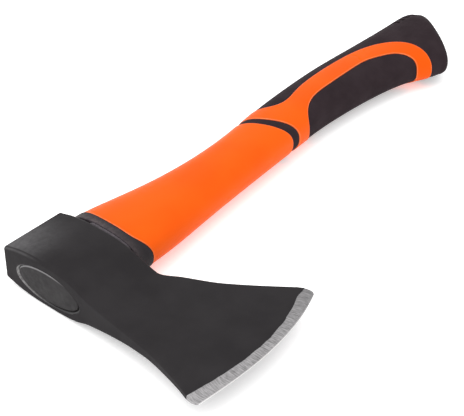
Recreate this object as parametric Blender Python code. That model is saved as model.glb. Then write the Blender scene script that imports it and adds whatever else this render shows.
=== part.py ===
"""Hatchet: a forged head bonded on a moulded handle with soft grips.

The axe is drawn in its own axes, in millimetres: x runs along the handle from the head's end face to the
butt, y from the cutting edge (-) to the poll (+), and z is the thickness, with z = 0 the plane that splits
the axe in half. An empty carries every piece and lays the axe on its cheek, with the middle of its
footprint at the world's origin. +X is then along the handle and the cutting edge faces -Y.
"""

import math

import bmesh
import bpy
import numpy as np

MM = 0.001
GAP = 0.3  # clearance left between touching pieces

# Forged head: poll face at POLL_Y, cutting edge near -118, end face at x = 0.
POLL_Y = 33.0
HEAD_HEIGHT = 41.0
CHEEK_HALF = 13.9
POLL_ROUND = 1.2
# One row per line across the head, from the poll to the edge: end-face side x, y; handle side x, y;
# how far the line bows towards the edge; half thickness.
HEAD_ROWS = (
    (0.0, POLL_Y, HEAD_HEIGHT, POLL_Y, 0.0, 10.2),
    (0.0, 21.0, HEAD_HEIGHT, 21.0, 0.0, 12.8),
    (0.0, 8.0, HEAD_HEIGHT, 8.0, 0.0, CHEEK_HALF),
    (0.0, -4.0, HEAD_HEIGHT, -4.0, 0.0, CHEEK_HALF),
    (-0.2, -12.0, HEAD_HEIGHT, -12.0, 0.0, 13.3),
    (-0.6, -20.0, HEAD_HEIGHT, -20.0, 0.0, 11.7),
    (-1.0, -29.0, 40.7, -30.0, 0.0, 8.6),
    (-1.4, -40.0, 40.6, -38.5, 0.6, 6.6),
    (-2.1, -55.0, 48.4, -49.5, 2.2, 4.6),
    (-3.6, -72.0, 57.8, -64.9, 3.8, 3.4),
    (-7.0, -88.0, 69.3, -80.4, 5.4, 2.7),
    (-10.4, -100.1, 79.2, -92.5, 6.9, 2.1),
    (-13.0, -107.5, 83.5, -97.5, 9.0, 1.6),
    (-15.0, -114.5, 88.0, -104.0, 7.0, 0.15),
)
BEVEL_ROW = 12
HEAD_ARRIS = 1.5  # rounding along the head's long corners, at most
BOW_SKEW = 0.25  # how far the bow leans towards the heel
TIP_ROUND = 3.4  # rounding of the toe and heel in plan

# The eye: an oval hole through the head, wider at the end face so that the set resin locks the head on.
EYE_Y = 0.4
EYE_Z = -0.8
EYE_END = (22.2, 9.5)
EYE_HANDLE = (20.4, 8.4)
EYE_CHAMFER = 1.0
RESIN_RECESS = 1.4

# Fibreglass core: a straight oval rod.
CORE_HALF = (10.0, 6.3)
CORE_FROM = (4.0, 0.0)
CORE_TO = (312.0, 8.0)

# Handle outline: spine x, y; belly x, y; half thickness, at stations from the head to the butt.
HANDLE_STATIONS = (
    (41.0, 29.4, 41.0, -24.0, 12.7),
    (52.0, 29.0, 52.0, -23.2, 12.7),
    (64.0, 27.2, 64.0, -22.6, 12.5),
    (80.0, 24.3, 80.0, -21.3, 12.2),
    (102.0, 21.1, 102.0, -18.7, 11.9),
    (130.0, 19.7, 130.0, -15.7, 11.8),
    (160.0, 21.4, 160.0, -13.0, 12.0),
    (190.0, 25.5, 190.0, -10.5, 12.5),
    (220.0, 28.0, 220.0, -8.5, 13.0),
    (250.0, 29.5, 250.0, -9.5, 13.0),
    (282.0, 29.0, 274.0, -12.0, 13.0),
    (322.0, 28.0, 295.0, -16.5, 13.5),
    (349.0, 28.0, 309.0, -23.5, 13.5),
    (355.5, 22.5, 317.5, -26.0, 13.5),
)
SECTION_POWER = 2.35  # 2 is an ellipse, more is squarer
BUTT_ROUND = 6.0
BUTT_CLEAR = 1.5  # least space between the last full section and the butt's rounding

# Soft grips: pads set into pockets of the hard jacket. Each edge is a smooth line through its points.
PAD_THICK = 2.6
PAD_DROP = 0.3  # how far the pads lie below the jacket's face
COLLAR_PROUD = 0.3
SPINE_EDGE = (
    (179, 30), (189, 19.6), (195, 13.8), (201, 11.6), (217, 14), (235, 16.8), (262, 17.5),
    (280, 15.6), (293, 11.3), (303, 5), (310.5, -4.5), (312.2, -14), (310, -23), (306, -31),
)
BELLY_EDGE = (
    (200, -17), (202.8, -9.3), (209.6, -2.5), (219, 1.7), (234, 3.5), (262, 4.2), (275, 3.5),
    (286, 0), (295.5, -5), (300.3, -11), (301.3, -16), (298.5, -21), (293, -28),
)
BAND_HEAD_EDGE = ((164, 30), (170, 17.5), (175.3, 6.5), (180.6, -3.8), (184.6, -9.5), (189, -17))
BAND_BUTT_EDGE = ((171, 30), (175.6, 19.5), (180.8, 8), (186.3, -1.5), (191.6, -9.5), (196, -17))
COLLAR_EDGE = ((51, 36), (49.8, 22), (48.6, 8), (48.4, -4), (49.4, -14), (52.5, -20.5), (57, -30))
COLLAR_INSET = 4.0
SEAL_THICK = 1.3
SEAL_INSET = 0.4
HANDLE_START = HEAD_HEIGHT + GAP + SEAL_THICK + GAP

# Ribs across the spine by the butt.
GROOVE_X = (331.0, 336.3, 341.6, 346.9)
GROOVE_WIDTH = 2.0
GROOVE_DEPTH = 1.0
GROOVE_FROM_Y = 20.0

HEAD_STEPS = 34
EDGE_STEPS = (0.4, 0.75, 1.0)  # along the bevel, from its start to the edge
SECTION_POINTS = 28
HANDLE_STEPS = 40
EYE_POINTS = 40
OUTSIDE = 70.0  # half height and reach of the cutters, clear of the axe
PAST_BUTT = 400.0
CUT_PAST = 5.0  # how far a bore's cutter runs past the piece

COLOURS = {
    "black_coat": ((0.045, 0.042, 0.044), 0.45, 0.6),
    "resin": ((0.06, 0.058, 0.06), 0.55, 0.0),
    "fibreglass": ((0.55, 0.5, 0.35), 0.5, 0.0),
    "orange_plastic": ((1.0, 0.16, 0.015), 0.35, 0.0),
    "soft_black": ((0.035, 0.03, 0.033), 0.65, 0.0),
    "seal_rubber": ((0.07, 0.06, 0.065), 0.7, 0.0),
}


# ---------------------------------------------------------------- scene and small tools

def clear_scene():
    for thing in list(bpy.data.objects):
        bpy.data.objects.remove(thing, do_unlink=True)


def collection(name, hidden=False):
    made = bpy.data.collections.new(name)
    bpy.context.scene.collection.children.link(made)
    made.hide_render = hidden
    return made


def material(name):
    colour, roughness, metallic = COLOURS[name]
    made = bpy.data.materials.new(name)
    made.use_nodes = True
    shader = made.node_tree.nodes["Principled BSDF"]
    shader.inputs["Base Color"].default_value = (*colour, 1.0)
    shader.inputs["Roughness"].default_value = roughness
    shader.inputs["Metallic"].default_value = metallic
    made.diffuse_color = (*colour, 1.0)
    return made


def natural_spline(knots, values, at):
    """A cubic curve through the values, smooth in slope and curvature."""
    knots, values = np.asarray(knots, float), np.asarray(values, float)
    steps = np.diff(knots)
    count = len(knots)
    system, right = np.eye(count), np.zeros((count, values.shape[1]))
    for i in range(1, count - 1):
        system[i, i - 1:i + 2] = steps[i - 1], 2 * (steps[i - 1] + steps[i]), steps[i]
        right[i] = 6 * ((values[i + 1] - values[i]) / steps[i] - (values[i] - values[i - 1]) / steps[i - 1])
    bend = np.linalg.solve(system, right)
    i = np.clip(np.searchsorted(knots, at) - 1, 0, count - 2)
    h, before, after = steps[i, None], (at - knots[i])[:, None], (knots[i + 1] - at)[:, None]
    return (
        (bend[i] * after**3 + bend[i + 1] * before**3) / (6 * h)
        + (values[i] / h - bend[i] * h / 6) * after
        + (values[i + 1] / h - bend[i + 1] * h / 6) * before
    )


def level_spline(knots, values, at):
    """A cubic curve through the values that never overshoots them, so equal values stay level."""
    knots, values = np.asarray(knots, float), np.asarray(values, float)
    steps = np.diff(knots)[:, None]
    rise = np.diff(values, axis=0) / steps
    slope = np.zeros_like(values)
    slope[0], slope[-1] = rise[0], rise[-1]
    same_way = rise[:-1] * rise[1:] > 0
    slope[1:-1][same_way] = (2 * rise[:-1] * rise[1:])[same_way] / (rise[:-1] + rise[1:])[same_way]
    i = np.clip(np.searchsorted(knots, at) - 1, 0, len(knots) - 2)
    h, t = steps[i], ((at - knots[i]) / np.diff(knots)[i])[:, None]
    return (
        values[i] * (1 + 2 * t) * (1 - t) ** 2
        + slope[i] * h * t * (1 - t) ** 2
        + values[i + 1] * t * t * (3 - 2 * t)
        + slope[i + 1] * h * t * t * (t - 1)
    )


def smooth_path(points, spacing=3.0):
    points = np.asarray(points, float)
    along = np.concatenate([[0], np.cumsum(np.linalg.norm(np.diff(points, axis=0), axis=1))])
    return natural_spline(along, points, np.linspace(0, along[-1], int(along[-1] / spacing) + 1))


def place(name, mesh, group, look=None):
    made = bpy.data.objects.new(name, mesh)
    group.objects.link(made)
    if look:
        mesh.materials.clear()
        mesh.materials.append(look)
    else:
        made.hide_render = True
        made.display_type = "WIRE"
    return made


def loft(name, rings, group, look=None):
    """A closed solid through rings of points, with flat ends."""
    shape = bmesh.new()
    rows = [[shape.verts.new(np.asarray(point) * MM) for point in ring] for ring in rings]
    count = len(rows[0])
    for first, second in zip(rows, rows[1:]):
        for i in range(count):
            j = (i + 1) % count
            shape.faces.new((first[i], first[j], second[j], second[i]))
    shape.faces.new(rows[0][::-1])
    shape.faces.new(rows[-1])
    bmesh.ops.recalc_face_normals(shape, faces=shape.faces)
    mesh = bpy.data.meshes.new(name)
    shape.to_mesh(mesh)
    shape.free()
    return place(name, mesh, group, look)


def outline_prism(name, outline, group):
    """A cutter: a flat outline extruded both ways past the axe."""
    curve = bpy.data.curves.new(name, "CURVE")
    curve.dimensions = "2D"
    curve.fill_mode = "BOTH"
    curve.extrude = OUTSIDE * MM
    line = curve.splines.new("POLY")
    line.points.add(len(outline) - 1)
    for point, (x, y) in zip(line.points, outline):
        point.co = (x * MM, y * MM, 0.0, 1.0)
    line.use_cyclic_u = True
    drawn = bpy.data.objects.new(name + "_outline", curve)
    group.objects.link(drawn)
    bpy.context.view_layer.update()
    mesh = bpy.data.meshes.new_from_object(drawn.evaluated_get(bpy.context.evaluated_depsgraph_get()))
    bpy.data.objects.remove(drawn, do_unlink=True)
    shape = bmesh.new()
    shape.from_mesh(mesh)
    bmesh.ops.remove_doubles(shape, verts=shape.verts, dist=1e-6)
    bmesh.ops.recalc_face_normals(shape, faces=shape.faces)
    shape.to_mesh(mesh)
    shape.free()
    return place(name, mesh, group)


def boolean(target, operation, cutter):
    step = target.modifiers.new(f"{operation.lower()} {cutter.name}", "BOOLEAN")
    step.operation = operation
    step.solver = "EXACT"
    step.object = cutter


def finish_solid(piece, sharp_degrees=35):
    """Applies the Booleans and shades the piece smooth up to its sharp edges."""
    bpy.context.view_layer.update()
    graph = bpy.context.evaluated_depsgraph_get()
    mesh = bpy.data.meshes.new_from_object(piece.evaluated_get(graph))
    piece.modifiers.clear()
    piece.data = mesh
    mesh.shade_smooth()
    mesh.set_sharp_from_angle(angle=math.radians(sharp_degrees))


# ---------------------------------------------------------------- forged head

def rounded_bar(half_length, half_thick, radius, corner_steps=3, side_steps=9):
    """(s, z) points round a bar's section, anticlockwise, with even points along its long sides."""
    corners = []
    for sx, sz, start in ((1, 1, 0), (-1, 1, 90), (-1, -1, 180), (1, -1, 270)):
        centre = np.array([sx * (half_length - radius), sz * (half_thick - radius)])
        for k in range(corner_steps + 1):
            angle = math.radians(start + 90 * k / corner_steps)
            corners.append(centre + radius * np.array([math.cos(angle), math.sin(angle)]))
        if sx * sz > 0:
            end = centre - [2 * sx * (half_length - radius), 0] + [0, sz * radius]
            for k in range(1, side_steps):
                corners.append(corners[-k] + (end - corners[-k]) * k / side_steps)
    return corners


def head_section(row, plan_round=0.0):
    """One line across the head as a closed ring of points."""
    lx, ly, rx, ry, bow, half = row
    left, right = np.array([lx, ly]), np.array([rx, ry])
    length = np.linalg.norm(right - left)
    radius = min(HEAD_ARRIS, 0.45 * half)
    ring = []
    for s, z in rounded_bar(length / 2 - plan_round, half, radius):
        u = s / length + 0.5
        x, y = left + (right - left) * u
        ring.append((x, y - bow * 4 * u * (1 - u) * (1 + BOW_SKEW * (2 * u - 1)), z))
    return ring


def head_rings():
    """Sections from the poll, with a rounded rim, down to the ground bevel and the edge."""
    rows = np.array(HEAD_ROWS)
    down = np.arange(len(rows), dtype=float)
    rings = []
    for angle in np.radians((0, 30, 60)):
        inset = POLL_ROUND * (1 - math.sin(angle))
        start = rows[0].copy()
        start[[1, 3]] -= POLL_ROUND * (1 - math.cos(angle))
        start[5] -= inset
        rings.append(head_section(start, inset))
    rows[0, [1, 3]] -= POLL_ROUND
    body = np.linspace(0, BEVEL_ROW, HEAD_STEPS)
    rings += [head_section(row) for row in level_spline(down, rows, body)]
    bevel, edge = rows[BEVEL_ROW], rows[BEVEL_ROW + 1]
    for t in EDGE_STEPS:
        round_in = TIP_ROUND * (1 - math.sqrt(1 - t * t))
        rings.append(head_section(bevel + (edge - bevel) * t, round_in))
    return rings


def oval_ring(x, half_y, half_z, centre=(EYE_Y, EYE_Z), count=EYE_POINTS):
    turn = np.linspace(0, 2 * math.pi, count, endpoint=False)
    return [(x, centre[0] + half_y * math.cos(a), centre[1] + half_z * math.sin(a)) for a in turn]


def eye_half(x):
    """Half width and half thickness of the tapered eye at x."""
    end, handle = np.array(EYE_END), np.array(EYE_HANDLE)
    return end + (handle - end) * x / HEAD_HEIGHT


def build_head(parts, cutters):
    head = loft("axe_head", head_rings(), parts, material("black_coat"))
    through = [oval_ring(x, *eye_half(x)) for x in (-CUT_PAST, HEAD_HEIGHT + CUT_PAST)]
    boolean(head, "DIFFERENCE", loft("cut_eye", through, cutters))
    flare = [oval_ring(x, *(eye_half(x) + EYE_CHAMFER - x)) for x in (-EYE_CHAMFER, 2 * EYE_CHAMFER)]
    boolean(head, "DIFFERENCE", loft("cut_eye_chamfer", flare, cutters))
    finish_solid(head)


# ---------------------------------------------------------------- inside the eye and the handle

def core_rings(grow=0.0, from_x=None, to_x=None):
    (x0, y0), (x1, y1) = CORE_FROM, CORE_TO
    from_x = x0 if from_x is None else from_x
    to_x = x1 if to_x is None else to_x
    slope = (y1 - y0) / (x1 - x0)
    half_y, half_z = CORE_HALF
    ends = ((from_x, y0 + slope * (from_x - x0)), (to_x, y0 + slope * (to_x - x0)))
    return [oval_ring(x, half_y + grow, half_z + grow, (y, 0.0), 24) for x, y in ends]


def build_core(parts):
    finish_solid(loft("fibreglass_core", core_rings(), parts, material("fibreglass")))


def build_resin(parts, cutters):
    """Resin cast round the core: it fills the tapered eye and covers the core's end."""
    ends = (RESIN_RECESS, HEAD_HEIGHT)
    rings = [oval_ring(x, *(eye_half(x) - GAP)) for x in ends]
    resin = loft("eye_resin", rings, parts, material("resin"))
    bore = core_rings(GAP, CORE_FROM[0] - GAP, HEAD_HEIGHT + CUT_PAST)
    boolean(resin, "DIFFERENCE", loft("cut_resin_bore", bore, cutters))
    finish_solid(resin)


# ---------------------------------------------------------------- handle

def handle_ring(station, inset, power=SECTION_POWER, count=SECTION_POINTS):
    sx, sy, bx, by, half = station
    middle = np.array([sx + bx, sy + by]) / 2
    reach = np.array([sx - bx, sy - by]) / 2
    length = np.linalg.norm(reach)
    reach *= (length - inset) / length
    ring = []
    for a in np.linspace(0, 2 * math.pi, count, endpoint=False):
        c = math.copysign(abs(math.cos(a)) ** (2 / power), math.cos(a))
        s = math.copysign(abs(math.sin(a)) ** (2 / power), math.sin(a))
        x, y = middle + reach * c
        ring.append((x, y, (half - inset) * s))
    return ring


def handle_rings(inset=0.0, end_inset=None):
    """Rings of the handle's outer form, shrunk by inset, with a rounded butt."""
    end_inset = inset if end_inset is None else end_inset
    stations = np.array(HANDLE_STATIONS)
    knots = np.arange(len(stations), dtype=float)
    rows = natural_spline(knots, stations, np.linspace(0, knots[-1], HANDLE_STEPS))
    last = rows[-1]
    chord = last[0:2] - last[2:4]
    outward = np.array([chord[1], -chord[0]]) / np.linalg.norm(chord)
    back = np.tile(outward * end_inset, 2)
    rows = [row for row in rows[:-1] if (last[0:2] - row[0:2]) @ outward > end_inset + BUTT_CLEAR]
    end = last.copy()
    end[:4] -= back
    rings = [handle_ring(row, inset) for row in rows]
    for angle in np.radians((0, 22.5, 45, 67.5, 90)):
        pushed = end.copy()
        pushed[:4] += np.tile(outward * BUTT_ROUND * math.sin(angle), 2)
        rings.append(handle_ring(pushed, inset + BUTT_ROUND * (1 - math.cos(angle))))
    return rings


def spine_region(grow=0.0):
    """Everything past the spine edge: the back of the grip and the whole butt."""
    edge = offset_line(smooth_path(SPINE_EDGE), grow)
    first_x, last_x = SPINE_EDGE[0][0], SPINE_EDGE[-1][0]
    return edge + [(last_x, -OUTSIDE), (PAST_BUTT, -OUTSIDE), (PAST_BUTT, OUTSIDE), (first_x, OUTSIDE)]


def belly_region(grow=0.0):
    """Everything on the belly's side of the belly edge."""
    edge = offset_line(smooth_path(BELLY_EDGE), -grow)
    return edge + [(BELLY_EDGE[-1][0], -OUTSIDE), (BELLY_EDGE[0][0], -OUTSIDE)]


def band_region(grow=0.0):
    head_side = offset_line(smooth_path(BAND_HEAD_EDGE), grow)
    butt_side = offset_line(smooth_path(BAND_BUTT_EDGE), -grow)
    return head_side + butt_side[::-1]


def collar_region(grow=0.0):
    """From the handle's start, against the seal, to the collar's edge."""
    edge = offset_line(smooth_path(COLLAR_EDGE), -grow)
    start = HANDLE_START - 2 * grow
    return edge + [(start, edge[-1][1]), (start, edge[0][1])]


def offset_line(points, shift):
    """The line moved sideways: positive to its right, looking along it."""
    points = np.asarray(points, float)
    along = np.gradient(points, axis=0)
    along /= np.linalg.norm(along, axis=1)[:, None]
    return [tuple(p) for p in points + shift * np.stack([along[:, 1], -along[:, 0]], axis=1)]


def groove_region(x):
    half = GROOVE_WIDTH / 2
    return [(x - half, GROOVE_FROM_Y), (x + half, GROOVE_FROM_Y), (x + half, OUTSIDE), (x - half, OUTSIDE)]


def build_pad(name, region, parts, cutters, thick=PAD_THICK, drop=PAD_DROP, look="soft_black"):
    """A moulded pad: the handle's skin inside the region, down to its thickness."""
    pad = loft(name, handle_rings(drop), parts, material(look))
    boolean(pad, "INTERSECT", outline_prism("keep_" + name, region(), cutters))
    boolean(pad, "DIFFERENCE", loft("cut_under_" + name, handle_rings(thick), cutters))
    return pad


def pocket(name, outline, floor, cutters):
    """A cutter that sinks an outline into the handle, down to a floor parallel to its skin."""
    cut = outline_prism("cut_" + name, outline, cutters)
    boolean(cut, "DIFFERENCE", loft("floor_" + name, handle_rings(floor), cutters))
    finish_solid(cut)
    return cut


def build_jacket(parts, cutters):
    """Hard orange jacket moulded round the core, with pockets for the soft pads."""
    jacket = loft("handle_jacket", handle_rings(), parts, material("orange_plastic"))
    pads = (("spine_pocket", spine_region, PAD_THICK), ("belly_pocket", belly_region, PAD_THICK),
            ("band_pocket", band_region, PAD_THICK), ("collar_seat", collar_region, COLLAR_INSET))
    for name, region, depth in pads:
        boolean(jacket, "DIFFERENCE", pocket(name, region(GAP), depth + GAP, cutters))
    start = HANDLE_START
    trim = [(start, -OUTSIDE), (start, OUTSIDE), (-OUTSIDE, OUTSIDE), (-OUTSIDE, -OUTSIDE)]
    boolean(jacket, "DIFFERENCE", outline_prism("cut_jacket_start", trim, cutters))
    bore = core_rings(GAP, HANDLE_START - CUT_PAST, CORE_TO[0] + GAP)
    boolean(jacket, "DIFFERENCE", loft("cut_jacket_bore", bore, cutters))
    finish_solid(jacket)


def build_grips(parts, cutters):
    spine = build_pad("spine_grip", spine_region, parts, cutters)
    for number, x in enumerate(GROOVE_X, 1):
        name = f"groove_{number}"
        boolean(spine, "DIFFERENCE", pocket(name, groove_region(x), PAD_DROP + GROOVE_DEPTH, cutters))
    finish_solid(spine)
    finish_solid(build_pad("belly_grip", belly_region, parts, cutters))
    finish_solid(build_pad("neck_band", band_region, parts, cutters))
    collar = build_pad("head_collar", collar_region, parts, cutters, COLLAR_INSET, -COLLAR_PROUD)
    finish_solid(collar)


def build_seal(parts, cutters):
    """Thin ring squeezed between the head and the handle, which keeps the resin in the eye."""
    start = HEAD_HEIGHT + GAP
    station = np.array(HANDLE_STATIONS[0])
    rings = []
    for x in (start, start + SEAL_THICK):
        station[[0, 2]] = x
        rings.append(handle_ring(station, SEAL_INSET))
    seal = loft("eye_seal", rings, parts, material("seal_rubber"))
    bore = core_rings(GAP, start - CUT_PAST, start + SEAL_THICK + CUT_PAST)
    boolean(seal, "DIFFERENCE", loft("cut_seal_bore", bore, cutters))
    finish_solid(seal)


def lay_down(parts):
    """Parents every piece to one empty that puts the axe on the ground, centred on the origin."""
    bpy.context.view_layer.update()
    corners = np.array([c[:] for piece in parts.objects for c in piece.bound_box])
    low, high = corners.min(axis=0), corners.max(axis=0)
    holder = bpy.data.objects.new("hatchet_place", None)
    bpy.context.scene.collection.objects.link(holder)
    for piece in parts.objects:
        piece.parent = holder
    holder.location = (-(low[0] + high[0]) / 2, -(low[1] + high[1]) / 2, -low[2])


def main():
    clear_scene()
    parts = collection("hatchet")
    cutters = collection("cutters", hidden=True)
    build_head(parts, cutters)
    build_core(parts)
    build_resin(parts, cutters)
    build_seal(parts, cutters)
    build_jacket(parts, cutters)
    build_grips(parts, cutters)
    lay_down(parts)


main()
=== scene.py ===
"""The hatchet's looks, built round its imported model.

Shapes are worked out in the axe's own axes, in millimetres: x along the handle from the head's end face to
the butt, y from the cutting edge (-) to the poll (+), z the thickness, with z = 0 the axe's middle plane.
place_axes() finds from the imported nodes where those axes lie, and new_piece() moves each mesh there.

The head is a loft with an eye cut through it and a ground edge. The handle's skin is one grid of points. Each
moulded piece is the part of that grid inside an outline, with a rounded rim down to its bed.
"""

import math

import bmesh
import bpy
import numpy as np
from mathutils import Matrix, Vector, noise


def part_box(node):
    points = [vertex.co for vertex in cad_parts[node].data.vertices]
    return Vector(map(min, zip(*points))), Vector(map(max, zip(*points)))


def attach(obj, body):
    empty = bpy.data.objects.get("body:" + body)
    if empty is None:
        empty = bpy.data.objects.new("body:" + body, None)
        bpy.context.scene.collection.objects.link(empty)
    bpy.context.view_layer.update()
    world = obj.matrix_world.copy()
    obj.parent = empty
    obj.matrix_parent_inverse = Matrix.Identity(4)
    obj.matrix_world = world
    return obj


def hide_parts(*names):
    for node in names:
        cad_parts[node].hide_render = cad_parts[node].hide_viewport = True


MM = 0.001

# ---------------------------------------------------------------- driving dimensions, in millimetres
# HEAD_ROWS, HANDLE_STATIONS and the pads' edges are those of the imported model. Only the half thickness of the
# cutting edge itself differs.

# Head, one row for each line across it, from the poll to the edge: end-face side x, y; handle side x, y; how
# far the line bows towards the edge; half thickness.
POLL_Y = 33.0
HEAD_HEIGHT = 41.0
CHEEK_HALF = 13.9
POLL_ROUND = 1.2
HEAD_ROWS = (
    (0.0, POLL_Y, HEAD_HEIGHT, POLL_Y, 0.0, 10.2),
    (0.0, 21.0, HEAD_HEIGHT, 21.0, 0.0, 12.8),
    (0.0, 8.0, HEAD_HEIGHT, 8.0, 0.0, CHEEK_HALF),
    (0.0, -4.0, HEAD_HEIGHT, -4.0, 0.0, CHEEK_HALF),
    (-0.2, -12.0, HEAD_HEIGHT, -12.0, 0.0, 13.3),
    (-0.6, -20.0, HEAD_HEIGHT, -20.0, 0.0, 11.7),
    (-1.0, -29.0, 40.7, -30.0, 0.0, 8.6),
    (-1.4, -40.0, 40.6, -38.5, 0.6, 6.6),
    (-2.1, -55.0, 48.4, -49.5, 2.2, 4.6),
    (-3.6, -72.0, 57.8, -64.9, 3.8, 3.4),
    (-7.0, -88.0, 69.3, -80.4, 5.4, 2.7),
    (-10.4, -100.1, 79.2, -92.5, 6.9, 2.1),
    (-13.0, -107.5, 83.5, -97.5, 9.0, 1.6),
    (-15.0, -114.5, 88.0, -104.0, 7.0, 0.12),
)
BEVEL_ROW = 12
HEAD_ARRIS = 1.5
BOW_SKEW = 0.25  # how far the bow leans towards the heel
TIP_ROUND = 3.4  # rounding of the toe and heel in plan
HEEL_FROM_X = 75.0  # where the coat's end starts to slide
HEEL_SLIDE = (1.0, -1.6, 0.0)  # how far the coat's end at the heel lies along the outline
SCALE_PITCH = 0.07  # dents in the forging per mm
SCALE_DEPTH = 0.011  # their depth as a share of the half thickness
COAT_WAVE = 0.25  # how far the coat's ground edge wanders
FINE_EDGE_FROM = 0.8  # share of the bevel where the steeper fine edge starts
FINE_EDGE_HALF = 0.62  # half thickness there
ARRIS_PAINTED_HIGHLIGHT = 0.5  # how much lighter the coat is painted at most, 0 to 1, on the long arrises, as a painted highlight
CHEEK_PAINTED_SHEEN = 0.62  # and on the cheeks near the poll, as painted sheen

# Eye and what fills it.
EYE_Y = 0.4
EYE_Z = -0.8
EYE_END = (22.2, 9.5)
EYE_HANDLE = (20.4, 8.4)
EYE_FLARE = (1.3, 0.5)  # how much the eye's worn rim opens, in y and in z
FLARE_SHAPE = ((-1.0, 1.8), (0.0, 1.0), (0.4, 0.6), (0.9, 0.27), (1.5, 0.06), (2.3, 0.0))  # x, share of it
RIM_DEPTH = 1.3  # how deep into the eye its worn rim reaches
RESIN_RECESS = 0.1  # to the crown of the resin's cushion-shaped face
RESIN_CROWN = 0.2  # from there to the start of its rounded rim
RESIN_RIM = 1.1  # rounding of the rim
GAP = 0.3
CLOSE_FIT = 0.02  # between cast resin and the eye's wall
CORE_HALF = (10.0, 6.3)
CORE_FROM = (4.0, 0.0)
CORE_TO = (312.0, 8.0)

# Handle outline: spine x, y; belly x, y; half thickness.
HANDLE_STATIONS = (
    (41.0, 29.4, 41.0, -24.0, 12.7),
    (52.0, 29.0, 52.0, -23.2, 12.7),
    (64.0, 27.2, 64.0, -22.6, 12.5),
    (80.0, 24.3, 80.0, -21.3, 12.2),
    (102.0, 21.1, 102.0, -18.7, 11.9),
    (130.0, 19.7, 130.0, -15.7, 11.8),
    (160.0, 21.4, 160.0, -13.0, 12.0),
    (190.0, 25.5, 190.0, -10.5, 12.5),
    (220.0, 28.0, 220.0, -8.5, 13.0),
    (250.0, 29.5, 250.0, -9.5, 13.0),
    (282.0, 29.0, 274.0, -12.0, 13.0),
    (322.0, 28.0, 295.0, -16.5, 13.5),
    (349.0, 28.0, 309.0, -23.5, 13.5),
    (355.5, 22.5, 317.5, -26.0, 13.5),
)
SECTION_POWER = 2.35
BUTT_ROUND = 6.0
BUTT_CLEAR = 1.5
BUTT_CROWN = 0.7  # how far the butt's end face swells

# Edges of the moulded pads, in plan.
SPINE_EDGE = (
    (179, 30), (189, 19.6), (195, 13.8), (201, 11.6), (217, 14), (235, 16.8), (262, 17.5),
    (280, 15.6), (293, 11.3), (303, 5), (310.5, -4.5), (312.2, -14), (310, -23), (306, -31),
)
BELLY_EDGE = (
    (200, -17), (202.8, -9.3), (209.6, -2.5), (219, 1.7), (234, 3.5), (262, 4.2), (275, 3.5),
    (286, 0), (295.5, -5), (300.3, -11), (301.3, -16), (298.5, -21), (293, -28),
)
BAND_HEAD_EDGE = ((164, 30), (170, 17.5), (175.3, 6.5), (180.6, -3.8), (184.6, -9.5), (189, -17))
BAND_BUTT_EDGE = ((171, 30), (175.6, 19.5), (180.8, 8), (186.3, -1.5), (191.6, -9.5), (196, -17))
COLLAR_EDGE = ((51, 36), (49.8, 22), (48.6, 8), (48.4, -4), (49.4, -14), (52.5, -20.5), (57, -30))
SPINE_PAD = ((SPINE_EDGE, 1),)  # each edge with the side of it that is outside the pad, 1 for its right
BELLY_PAD = ((BELLY_EDGE, -1),)
BAND_PAD = ((BAND_HEAD_EDGE, 1), (BAND_BUTT_EDGE, -1))
COLLAR_PAD = ((COLLAR_EDGE, -1),)
PAD_THICK = 2.6
PAD_DROP = 0.4
COLLAR_INSET = 4.0
COLLAR_PROUD = 0.3
COLLAR_RIM = 0.5  # rounding of the collar's own rim
SEAL_THICK = 1.3
SEAL_CLEAR = 0.06  # between the squeezed bead and its neighbours
SEAL_PROUD = 0.35
SEAL_BULGE = 0.45  # how far the bead swells between its two faces
SEAL_WAVE = 0.25
SEAL_TEAR_DEPTH = 3.2
SEAL_TEARS = (  # where the bead is torn away: y from, y to, side (1 upper, -1 lower)
    (13.0, 26.0, 1),
    (-23.0, -19.0, 1),
    (-4.0, 7.0, -1),
)
HANDLE_START = HEAD_HEIGHT + GAP + SEAL_THICK + GAP
RIM_ROUND = 0.3  # rounding of a pad's rim
SHELL_ROUND = 0.5  # rounding of the orange shell's rims
SEAM = 0.1  # half the hairline between two mouldings

# Ribs across the spine by the butt.
GROOVE_X = (331.0, 336.3, 341.6, 346.9)
GROOVE_HALF = 1.1
GROOVE_DEPTH = 1.9
GROOVE_FROM_Y = 18.0

# Parting line: where it runs round the section, from the spine, and how proud it stands.
PARTING_DEGREES = 192.5
PARTING_HEIGHT = 0.22

# A short moulded mark on the orange: three points of its arc, in plan.
MARK_ARC = ((273.4, 14.1), (274.8, 11.4), (272.3, 6.4))
MARK_HALF = 0.3
MARK_DEPTH = 0.4

# Mesh pitches.
PITCH = 1.0
FINE_PITCH = 0.35
ROUND_POINTS = 144
SNAP = 0.3  # a grid point this near the outline, in cells, is moved onto it
SMOOTH_DEGREES = 40  # faces that meet at less than this are shaded as one
HEAD_SMOOTH_DEGREES = 32


# ---------------------------------------------------------------- curves

def natural_spline(knots, values, at):
    """A cubic curve through the values, smooth in slope and curvature."""
    knots, values = np.asarray(knots, float), np.asarray(values, float)
    steps = np.diff(knots)
    count = len(knots)
    system, right = np.eye(count), np.zeros((count, values.shape[1]))
    for i in range(1, count - 1):
        system[i, i - 1:i + 2] = steps[i - 1], 2 * (steps[i - 1] + steps[i]), steps[i]
        right[i] = 6 * ((values[i + 1] - values[i]) / steps[i] - (values[i] - values[i - 1]) / steps[i - 1])
    bend = np.linalg.solve(system, right)
    i = np.clip(np.searchsorted(knots, at) - 1, 0, count - 2)
    h, before, after = steps[i, None], (at - knots[i])[:, None], (knots[i + 1] - at)[:, None]
    return (
        (bend[i] * after**3 + bend[i + 1] * before**3) / (6 * h)
        + (values[i] / h - bend[i] * h / 6) * after
        + (values[i + 1] / h - bend[i + 1] * h / 6) * before
    )


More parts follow.
